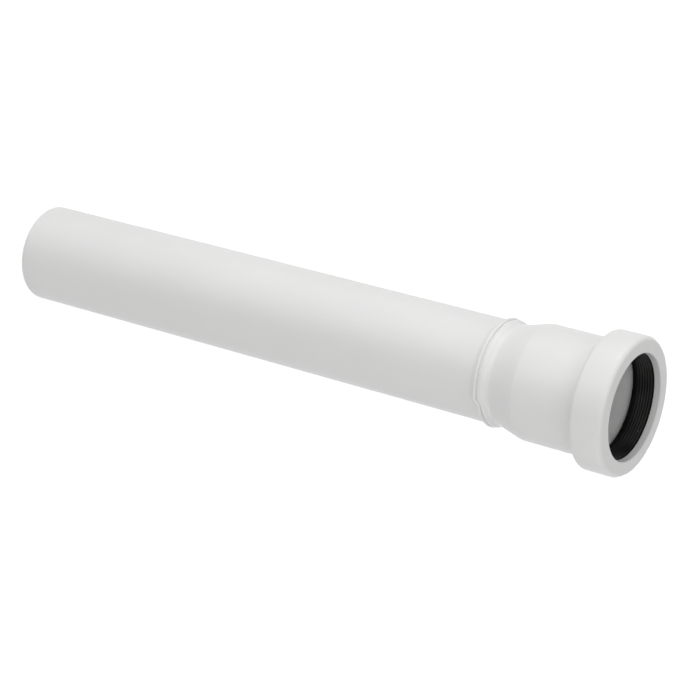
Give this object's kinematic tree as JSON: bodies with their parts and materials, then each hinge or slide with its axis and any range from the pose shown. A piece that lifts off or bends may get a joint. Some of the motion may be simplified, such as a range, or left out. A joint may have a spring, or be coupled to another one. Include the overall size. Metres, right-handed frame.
{
  "type": "waste pipe with lip seal",
  "caption": "Straight white plastic waste pipe with a plain spigot end and a flared push-fit socket whose thick mouth ring holds a black rubber lip seal.",
  "frame": {"origin": "centre of the spigot's end face, on which the pipe stands", "axes": "+Z along the pipe's axis, from the spigot end to the socket's mouth; X and Y are equal, as the part is round"},
  "size_m": [0.0672, 0.0672, 0.35],
  "materials": {
    "white_plastic": "satin",
    "seal_rubber": "matte"
  },
  "bodies": {
    "root": {"pipe": "white_plastic", "socket": "white_plastic", "lip_seal": "seal_rubber"}
  },
  "joints": []
}
